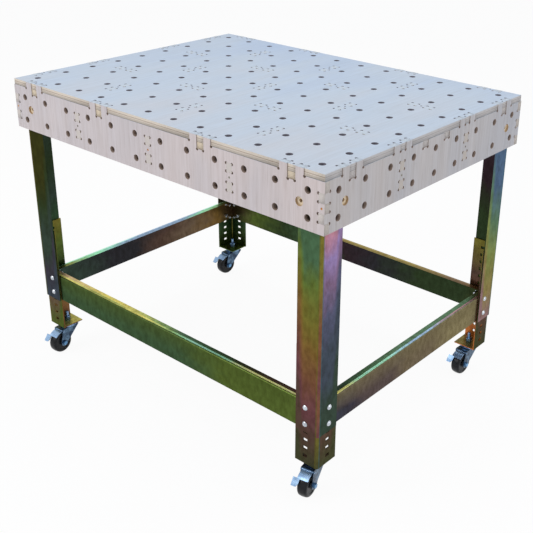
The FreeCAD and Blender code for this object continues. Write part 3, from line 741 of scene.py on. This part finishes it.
# ---- steel ----
# Colours that the yellow passivate film goes through.
FILM = {
    "pink": (168, 118, 130), "lilac": (130, 112, 156), "violet": (116, 94, 122), "plum": (78, 80, 104),
    "slate": (58, 66, 78), "dusk": (57, 54, 66), "pine": (50, 64, 56), "bottle": (44, 58, 36),
    "khaki": (53, 54, 24), "moss": (70, 100, 72), "leaf": (90, 108, 50), "grass": (58, 82, 56),
    "lime": (78, 94, 42), "olive": (108, 102, 44), "amber": (116, 90, 46), "rust": (110, 74, 54),
    "rose": (100, 62, 67), "umber": (78, 60, 52), "peat": (60, 62, 42), "ink": (42, 42, 46),
    "ivy": (44, 72, 44), "sea": (54, 100, 106), "azure": (72, 94, 122), "fern": (82, 110, 86),
    "brass": (116, 126, 72), "bronze": (128, 115, 72), "mauve": (132, 104, 108), "drab": (100, 84, 68),
    "orange": (184, 110, 58), "gold": (190, 180, 100), "sage": (128, 156, 100), "mint": (138, 204, 166),
    "sky": (124, 146, 172), "straw": (218, 226, 140), "aubergine": (48, 36, 42),
    "clay": (84, 72, 72), "taupe": (108, 96, 78), "dun": (128, 118, 88), "sand": (184, 160, 126),
}
# How they follow each other up a leg, up its extension and along a rail, on each kind of face. The rails'
# line runs colour a painted highlight, and the crest runs colour the bend, which is painted brighter as a
# highlight.
LEG_RUNS = {
    "front_right": {
        "y_outer": "umber rose rust amber olive leaf moss moss",
        "x_outer": "pine pine slate slate plum violet lilac pink",
        "inner": "khaki bottle bottle ivy", "crest": "rose rust rose rust rust olive olive olive",
    },
    "front_left": {
        "y_outer": "slate dusk pine pine bottle khaki khaki khaki",
        "x_outer": "moss slate plum violet",
        "inner": "lime lime ivy pine bottle pine", "crest": "sea sea sea pine rust",
    },
    "back_right": {
        "y_outer": "rose rust olive leaf moss",
        "x_outer": "mauve bronze brass fern azure azure",
        "inner": "lime lime bottle bottle aubergine aubergine", "crest": "fern brass azure azure",
    },
    "back_left": {
        "y_outer": "bronze mauve fern azure",
        "x_outer": "pine slate plum violet pink",
        "inner": "khaki bottle khaki bottle", "crest": "fern brass azure",
    },
}
FOOT_RUNS = {
    "front_right": {
        "y_outer": "peat umber rose rose rust", "x_outer": "peat umber umber rust umber",
        "inner": "umber umber khaki", "crest": "peat olive lime peat", "plate": "umber peat",
    },
    "front_left": {
        "y_outer": "lime drab drab umber drab", "x_outer": "amber umber rose",
        "inner": "rust amber bottle lime olive", "crest": "olive peat olive", "plate": "gold brass",
    },
    "back_right": {
        "y_outer": "amber umber rose", "x_outer": "peat umber mauve mauve drab",
        "inner": "orange rust umber olive", "crest": "olive peat olive", "plate": "bronze olive",
    },
    "back_left": {
        "y_outer": "amber umber rose", "x_outer": "amber umber rose",
        "inner": "lime grass khaki umber bottle", "crest": "olive peat olive", "plate": "lime khaki",
    },
}
RAIL_RUNS = {       # from left to right, and from front to back
    "front": {
        "outer": "grass grass grass grass grass lime lime leaf",
        "line": "straw gold brass brass gold sage mint mint straw straw straw",
        "top": "sand sand gold gold sage fern moss peat umber rose",
        "inner": "umber amber grass pine",
    },
    "right": {
        "outer": "slate dusk clay clay taupe taupe dun dun taupe",
        "line": "straw gold mint mint sky sky mauve mauve amber",
        "top": "peat pine moss fern fern fern fern olive",
        "inner": "pine umber violet",
    },
    "left": {
        "outer": "pine umber drab bronze",
        "line": "fern mint mint sky sky sky mint gold",
        "top": "peat brass mint sky sky sky mint brass peat",
        "inner": "pine pine ink ink umber drab amber drab",
    },
    "back": {
        "outer": "grass grass lime leaf",
        "line": "amber lime amber bronze bronze bronze drab amber",
        "top": "amber lime amber bronze bronze bronze drab amber",
        "inner": "umber lime bottle grass aubergine ink bottle bottle khaki",
    },
}


STEEL_METALLIC = 0.8
# Gains that bring the film colours to the photograph's brightness.
FILM_GAIN = 1.2
# Painted light: the outer x faces of the legs made lighter, as lit from their side.
X_FACE_LIGHT_GAIN = 1.25
# Painted highlight on the crest of each angle's bend.
CREST_HIGHLIGHT_GAIN = 1.2
# Painted light: the right rail's web made lighter, as lit from its side.
RIGHT_WEB_LIGHT_GAIN = 1.1
# Painted light: the rails' flange tops made lighter, as lit from above.
FLANGE_LIGHT_GAIN = 1.4
# Painted highlight: the bright line on each rail's flange beside its bend.
HIGHLIGHT_LINE_GAIN = 2.1
# Pairs of distances between which a colour fades in or out.
FREE_EDGE = (22 * MM, 8 * MM)         # from an angle's free edge; its run is set back beside it
BEND_REACH = (7 * MM, 11 * MM)        # from the outside of a bend, for the colour beside it
CREST_REACH = (4.5 * MM, 6.5 * MM)    # and for the colour of the bend itself, which is painted brighter as a highlight
WEB_UPPER_HIGHLIGHT = (60 * MM, 5 * MM)         # below a rail's top, for the painted highlight on the web's upper part
HIGHLIGHT_LINE_HALF = (2.5 * MM, 4 * MM)        # from the middle of a rail's painted highlight line
WEB_END = (5 * MM, 3.5 * MM)          # before that line, from the web's colour to the top's
CREST_LEAN = 0.85                     # the crest is a little wider on the x faces
HIGHLIGHT_LINE_AT = {"X": 9 * MM, "Y": 6.5 * MM}    # where the painted highlight line lies, from the web's outside, by the axis along the rail


def run(s, share, names):
    """Ramp through the named film colours, evenly spaced."""
    chosen = names.split()
    stops = [(i / (len(chosen) - 1), FILM[name]) for i, name in enumerate(chosen)]
    return brighter(s, s.ramp(share, stops), FILM_GAIN)


def along_film(s, value, low, high, stretch):
    """Share of the way from low to high, pushed about by slow drifts and fine streaks."""
    drift = s.noise(stretch, 2.0, detail=3.0, roughness=0.5, distortion=0.4)
    streaks = s.noise(stretch, 14.0, roughness=0.6)
    return s.pushed(s.pushed(s.between(value, low, high), drift, 0.24), streaks, 0.14)


def steel_surface(s, colour):
    mottle = s.noise((70.0, 70.0, 40.0), roughness=0.6)
    dull = s.mix(1.0, colour, rgb(214, 210, 204), "MULTIPLY")
    s.colour(s.mix(s.between(mottle, 0.35, 0.7), colour, dull))
    s.set("Metallic", STEEL_METALLIC)
    s.set("Specular IOR Level", 0.1)
    s.set("Specular Tint", (0.45, 0.45, 0.4, 1.0))
    s.set("Roughness", s.between(mottle, 0.3, 0.7, 0.28, 0.38))
    return s.material


def facing(s, letter, sign):
    """1 on the faces that look along sign times an axis, fading round the bend."""
    return s.between(s.math("MULTIPLY", s.axis(letter, "direction"), sign), 0.45, 0.75)


def brighter(s, colour, gain):
    return s.mix(1.0, colour, (gain, gain, gain, 1.0), "MULTIPLY")


def angle_steel(name, corner, runs, outer_x, outer_y, low, high):
    """A corner angle between two heights, with other colours beside the bend and on its crest, which is
    painted brighter as a highlight; the outer x face is painted lighter, as lit from its side.
    """
    side_x, side_y = CORNERS[corner]
    s = Shader(name)
    share = along_film(s, s.axis("Z"), low, high, (3.0, 3.0, 1.2))
    from_x = s.math("SUBTRACT", outer_x, s.math("ABSOLUTE", s.axis("X")))
    from_y = s.math("SUBTRACT", outer_y, s.math("ABSOLUTE", s.axis("Y")))
    colour = run(s, share, runs["inner"])
    for face, letter, side, from_bend, beside in (
        ("y_outer", "Y", side_y, from_x, "olive"), ("x_outer", "X", side_x, from_y, "sea")
    ):
        near_edge = s.between(from_bend, *(LEG_FLANGE - reach for reach in FREE_EDGE), 0.0, 0.2)
        shade = run(s, s.math("SUBTRACT", share, near_edge), runs[face])
        near_bend = s.between(from_bend, *BEND_REACH, 0.7, 0.0)
        shade = s.mix(near_bend, shade, rgb(*FILM[beside]))
        # painted light: the outer x face made lighter
        if face == "x_outer":
            shade = brighter(s, shade, X_FACE_LIGHT_GAIN)
        colour = s.mix(facing(s, letter, side), colour, shade)
    # painted highlight: the crest of the bend made brighter
    crest = s.math("MAXIMUM", from_x, s.math("MULTIPLY", from_y, CREST_LEAN))
    crest = s.between(crest, *CREST_REACH, 1.0, 0.0)
    colour = s.mix(crest, colour, brighter(s, run(s, share, runs["crest"]), CREST_HIGHLIGHT_GAIN))
    if "plate" in runs:
        patches = s.between(s.noise(30.0, detail=2.0), 0.45, 0.65)
        level = s.between(s.math("ABSOLUTE", s.axis("Z", "direction")), 0.6, 0.9)
        colour = s.mix(level, colour, run(s, patches, runs["plate"]))
    return steel_surface(s, colour)


def rail_steel(name, side, runs, outer, high_z):
    """A tie rail: a web and a flange on top, with a painted highlight line beside its bend and a painted
    highlight on the web's upper part; the flange's top and the right rail's web are painted lighter, as
    lit.
    """
    along, letter, sign, reach = {
        "front": ("X", "Y", -1, HALF_LENGTH), "back": ("X", "Y", 1, HALF_LENGTH),
        "left": ("Y", "X", -1, HALF_WIDTH), "right": ("Y", "X", 1, HALF_WIDTH),
    }[side]
    # the right rail's web is painted lighter, as lit from its side
    gain, upper_highlight_colour = (RIGHT_WEB_LIGHT_GAIN, "dun") if side == "right" else (1.0, "lime")
    s = Shader(name)
    stretch = tuple(1.2 if axis == along else 3.0 for axis in "XYZ")
    share = along_film(s, s.axis(along), -reach, reach, stretch)
    # painted highlight along the upper part of the web
    upper_highlight = s.between(s.axis("Z"), *(high_z - below for below in WEB_UPPER_HIGHLIGHT), 0.0, 0.7)
    web = s.mix(upper_highlight, brighter(s, run(s, share, runs["outer"]), gain), rgb(*FILM[upper_highlight_colour]))
    colour = s.mix(facing(s, letter, sign), run(s, share, runs["inner"]), web)
    from_web = s.math("SUBTRACT", outer, s.math("ABSOLUTE", s.axis(letter)))
    highlight_line_at = HIGHLIGHT_LINE_AT[along]
    # painted highlight line on the flange beside the bend
    line = s.between(s.apart(from_web, highlight_line_at), *HIGHLIGHT_LINE_HALF, 1.0, 0.0)
    # painted light: the flange's top made lighter, as lit from above
    top = brighter(s, run(s, share, runs["top"]), FLANGE_LIGHT_GAIN)
    top = s.mix(line, top, brighter(s, run(s, share, runs["line"]), HIGHLIGHT_LINE_GAIN))
    top = s.mix(s.between(from_web, *(highlight_line_at - before for before in WEB_END)), web, top)
    colour = s.mix(s.between(s.axis("Z", "direction"), 0.5, 0.8), colour, top)
    return steel_surface(s, colour)


def build_steel():
    inset = STEEL + SLIDE_CLEARANCE
    for corner in CORNERS:
        leg = angle_steel(
            "film_leg_" + corner, corner, LEG_RUNS[corner], LEG_X, LEG_Y,
            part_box("leg_" + corner)[0].z, SKIRT_Z
        )
        finish(nodes["leg_" + corner], leg)
        low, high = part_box("extension_" + corner)
        foot = angle_steel(
            "film_extension_" + corner, corner, FOOT_RUNS[corner], LEG_X - inset, LEG_Y - inset,
            low.z, high.z
        )
        finish(nodes["extension_" + corner], foot)
    for side, runs in RAIL_RUNS.items():
        low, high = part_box("rail_" + side)
        outer = {
            "front": MIDDLE_Y - low.y, "back": high.y - MIDDLE_Y, "left": -low.x, "right": high.x
        }[side]
        finish(nodes["rail_" + side], rail_steel("film_rail_" + side, side, runs, outer, high.z))


def zinc(name, bright, dim, roughness, metallic=0.85):
    """Zinc in clouds of two tones."""
    s = Shader(name)
    cloud = s.noise(60.0, roughness=0.6)
    s.colour(s.mix(s.between(cloud, 0.4, 0.6), rgb(*bright), rgb(*dim)))
    s.set("Metallic", metallic)
    s.set("Roughness", s.between(cloud, 0.3, 0.7, roughness * 0.8, roughness * 1.3))
    return s.material


def black_wheel(name):
    s = Shader(name)
    scuff = s.noise(90.0, roughness=0.6)
    s.colour(s.mix(s.between(scuff, 0.45, 0.75, 0.0, 0.5), rgb(14, 15, 18), rgb(40, 42, 48)))
    s.set("Specular IOR Level", 0.22)
    s.set("Roughness", s.between(scuff, 0.3, 0.7, 0.22, 0.36))
    return s.material


def lathe(shape, outline, steps, place):
    """Turns an outline of (radius, height) points about the height axis into a mesh, and moves it."""
    turns = [2 * math.pi * i / steps for i in range(steps)]
    rings = []
    for radius, height in outline:
        points = [Vector((radius * math.cos(a), radius * math.sin(a), height)) for a in turns]
        if radius == 0:
            points = [Vector((0, 0, height))]
        rings.append([shape.verts.new(place @ point) for point in points])
    for low, high in zip(rings, rings[1:]):
        for i in range(steps):
            j = (i + 1) % steps
            corners = [low[i % len(low)], low[j % len(low)], high[j % len(high)], high[i % len(high)]]
            shape.faces.new(list(dict.fromkeys(corners)))


def mesh_object(name, shape, home=MIDDLE_Y):
    """Turns a finished bmesh into an object, smooth but for its sharp edges."""
    bmesh.ops.recalc_face_normals(shape, faces=shape.faces)
    mesh = bpy.data.meshes.new(name)
    shape.to_mesh(mesh)
    shape.free()
    mesh.shade_smooth()
    mesh.set_sharp_from_angle(angle=SHARP_ANGLE)
    return add_object(name, mesh, home)


def leg_faces():
    """Places of the leg bolts on the outer faces of the legs, with the direction each face looks."""
    for side_x, side_y in CORNERS.values():
        for z in BOLT_HEIGHTS:
            yield Vector((side_x * (LEG_X - BOLT_COLUMN), side_y * LEG_Y, z)), Vector((0, side_y, 0))
            yield Vector((side_x * LEG_X, side_y * (LEG_Y - BOLT_COLUMN), z)), Vector((side_x, 0, 0))


def make_bolts():
    """Carriage bolts: a smooth dome on the leg's face, and the shank that comes out behind the nut."""
    sphere = (DOME_RADIUS ** 2 + DOME_HEIGHT ** 2) / (2 * DOME_HEIGHT)
    widest = math.asin(DOME_RADIUS / sphere)
    outline = [(0, DOME_HEIGHT)]
    for i in range(1, DOME_STEPS + 1):
        angle = widest * i / DOME_STEPS
        outline.append((sphere * math.sin(angle), DOME_HEIGHT - sphere + sphere * math.cos(angle)))
    end = -(3 * STEEL + 2 * SLIDE_CLEARANCE + NUT_HEIGHT + BOLT_END)
    outline += [(SHANK_RADIUS, 0.0), (SHANK_RADIUS, end + THREAD_CHAMFER)]
    outline += [(SHANK_RADIUS - THREAD_CHAMFER, end), (0, end)]
    shape = bmesh.new()
    for centre, outward in leg_faces():
        lathe(shape, outline, BOLT_SEGMENTS, facing_place(centre, outward))
    return mesh_object("leg_bolt_domes", shape)


def make_screws(name, places):
    """Countersunk heads, a little below the face they are driven into, with a drive recess."""
    shape = bmesh.new()
    for centre, outward in places:
        lathe(shape, SCREW_OUTLINE, SCREW_SEGMENTS, facing_place(centre, outward))
    return mesh_object(name, shape)


def build_fasteners():
    bright = zinc("zinc_bright", (206, 212, 220), (170, 176, 184), 0.26)
    finish(nodes["leg_nuts"], bright)
    bolts = finish(make_bolts(), bright)
    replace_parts(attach(bolts, "table_frame"), "leg_bolts")

    gold, dim = [], []
    for side in (-1, 1):
        outward = Vector((0, side, 0))
        for x in both_sides(HALF_LENGTH - PLY / 2):
            gold.append((Vector((x, side * HALF_WIDTH, SKIRT_MIDDLE_Z)), outward))
        for x in RIB_X:
            chosen = gold if x == 0 else dim
            chosen.append((Vector((x, side * HALF_WIDTH, SKIRT_MIDDLE_Z)), outward))
        outward = Vector((side, 0, 0))
        dim += [(Vector((side * HALF_LENGTH, y, SKIRT_MIDDLE_Z)), outward) for y in RIB_Y]
    for name, places, light, dark in (
        ("screws_gold", gold, (236, 176, 84), (196, 130, 56)),
        ("screws_dim", dim, (150, 148, 132), (120, 116, 104)),
    ):
        screws = finish(make_screws(name, places), zinc(name, light, dark, 0.3, 0.5))
        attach(screws, "table_frame")


def make_wheel(corner):
    """A solid wheel with a crowned tread, rounded shoulders and a dished side."""
    low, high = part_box("caster_wheel_" + corner)
    radius = (high.z - low.z) / 2
    half = WHEEL_WIDTH / 2
    side = [
        (AXLE_HOLE_RADIUS, -half), (HUB_RADIUS, -half), (HUB_RADIUS + HUB_SLOPE, WHEEL_DISH - half),
        (RIM_RADIUS - RIM_SLOPE, WHEEL_DISH - half), (RIM_RADIUS, -half),
    ]
    for i in range(SHOULDER_STEPS + 1):
        angle = math.pi / 2 * i / SHOULDER_STEPS
        inward = WHEEL_SHOULDER * (1 - math.sin(angle))
        side.append((radius - WHEEL_CROWN - inward, -half + WHEEL_SHOULDER * (1 - math.cos(angle))))
    outline = side + [(radius, 0.0)] + [(r, -height) for r, height in reversed(side)]
    outline.append(outline[0])
    turn = math.radians(WHEEL_TURNS[corner])
    axle = Vector((math.cos(turn), math.sin(turn), 0))
    shape = bmesh.new()
    lathe(shape, outline, WHEEL_SEGMENTS, facing_place((low + high) / 2, axle))
    bmesh.ops.remove_doubles(shape, verts=shape.verts, dist=WHEEL_WELD)
    return mesh_object("tread_" + corner, shape, home=0.0)


def build_casters():
    caster_zinc = zinc("zinc_blue", (92, 118, 142), (46, 62, 82), 0.25)
    stem_zinc = zinc("zinc_stem", (150, 184, 220), (66, 92, 124), 0.25)
    pedal_zinc = zinc("zinc_pale", (150, 180, 212), (118, 146, 178), 0.3, 0.7)
    axle_zinc = zinc("zinc_axle", (120, 170, 210), (84, 126, 166), 0.25)
    rubber = black_wheel("wheel_black")
    for corner in CORNERS:
        finish(nodes["caster_stem_" + corner], stem_zinc)
        finish(nodes["caster_fork_" + corner], caster_zinc)
        finish(nodes["caster_axle_" + corner], axle_zinc)
        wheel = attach(finish(make_wheel(corner), rubber), "roller_" + corner)
        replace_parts(wheel, "caster_wheel_" + corner)
        finish(nodes["brake_" + corner], pedal_zinc)


# ---- camera, light and floor ----
IMAGE_SIDE = 533
CAMERA_AZIMUTH = math.radians(39.46)
CAMERA_ELEVATION = math.radians(23.535)
CAMERA_ROLL = math.radians(1.213)
CAMERA_PLACE = Vector((1.794, -1.9256, 0.7091))   # from the middle of the table's top face
FOCAL_PIXELS = 901.51
OPTICAL_CENTRE = (316.0, 221.1)
SENSOR_WIDTH = 36.0
CAMERA_CLIP = (0.05, 100.0)
FLOOR_REACH = 12.0
FLOOR_WHITE = 0.94                 # share of plain white, so that the floor keeps the table's shadow
SKY_STRENGTH = 0.55
PLAIN_WHITE = (1, 1, 1, 1)
LAMP_AIM = Vector((0, 0, 0.55))


def make_camera():
    data = bpy.data.cameras.new("camera")
    data.sensor_width = SENSOR_WIDTH
    data.lens = FOCAL_PIXELS / IMAGE_SIDE * SENSOR_WIDTH
    data.shift_x = (IMAGE_SIDE / 2 - OPTICAL_CENTRE[0]) / IMAGE_SIDE
    data.shift_y = (OPTICAL_CENTRE[1] - IMAGE_SIDE / 2) / IMAGE_SIDE
    data.clip_start, data.clip_end = CAMERA_CLIP
    camera = link_new("camera", data)
    az, el, roll = CAMERA_AZIMUTH, CAMERA_ELEVATION, CAMERA_ROLL
    back = Vector((math.sin(az) * math.cos(el), -math.cos(az) * math.cos(el), math.sin(el)))
    level = Vector((math.cos(az), math.sin(az), 0))
    upright = back.cross(level)
    right = level * math.cos(roll) + upright * math.sin(roll)
    up = upright * math.cos(roll) - level * math.sin(roll)
    turn = Matrix((right, up, back)).transposed().to_4x4()
    camera.matrix_world = Matrix.Translation(CAMERA_PLACE + Vector((0, MIDDLE_Y, TOP_Z))) @ turn
    bpy.context.scene.camera = camera


def with_white(s, level, lit, white):
    """Mixes in plain white for what the camera, metal and clear surfaces see. Other rays see lit."""
    rays = s.node("ShaderNodeLightPath").outputs
    seen = s.math("MAXIMUM", rays["Is Camera Ray"], rays["Is Glossy Ray"])
    share = s.math("MULTIPLY", s.math("MAXIMUM", seen, rays["Is Transmission Ray"]), level)
    blend = s.node("ShaderNodeMixShader", {"Fac": share, 1: lit.outputs[0], 2: white.outputs[0]})
    return blend.outputs[0]


def make_floor():
    mesh = bpy.data.meshes.new("floor")
    shape = bmesh.new()
    bmesh.ops.create_grid(shape, x_segments=1, y_segments=1, size=FLOOR_REACH)
    shape.to_mesh(mesh)
    shape.free()
    floor = link_new("floor", mesh)
    s = Shader("floor_white")
    s.colour(rgb(236, 236, 238))
    s.set("Roughness", 0.9)
    glow = s.node("ShaderNodeEmission", {"Color": PLAIN_WHITE, "Strength": 1.0})
    seen = with_white(s, FLOOR_WHITE, s.surface, glow)
    s.feed(s.tree.nodes["Material Output"].inputs["Surface"], seen)
    finish(floor, s.material)


def make_world():
    world = bpy.data.worlds.new("studio")
    bpy.context.scene.world = world
    s = Shader("studio", world)
    soft = s.tree.nodes["Background"]
    s.feed(soft.inputs["Color"], (0.93, 0.95, 1.0, 1.0))
    s.feed(soft.inputs["Strength"], SKY_STRENGTH)
    white = s.node("ShaderNodeBackground", {"Color": PLAIN_WHITE, "Strength": 1.0})
    s.feed(s.tree.nodes["World Output"].inputs["Surface"], with_white(s, 1.0, soft, white))


def make_lamp(name, place, size, power, colour=(1, 1, 1)):
    data = bpy.data.lights.new(name, "AREA")
    data.shape = "RECTANGLE"
    data.size = size
    data.size_y = size
    data.energy = power
    data.color = colour
    lamp = link_new(name, data)
    lamp.location = place
    lamp.rotation_euler = (LAMP_AIM - Vector(place)).to_track_quat("-Z", "Y").to_euler()


def build_studio():
    bpy.context.scene.view_settings.view_transform = "Standard"
    make_camera()
    make_floor()
    make_world()
    make_lamp("key", (-1.6, -3.2, 3.2), size=2.4, power=70)
    make_lamp("overhead", (0.2, 0.4, 3.6), size=3.0, power=45, colour=(0.92, 0.96, 1.0))
    make_lamp("side", (3.6, 0.4, 1.8), size=2.0, power=22)


build_wood()
build_steel()
build_fasteners()
build_casters()
build_studio()
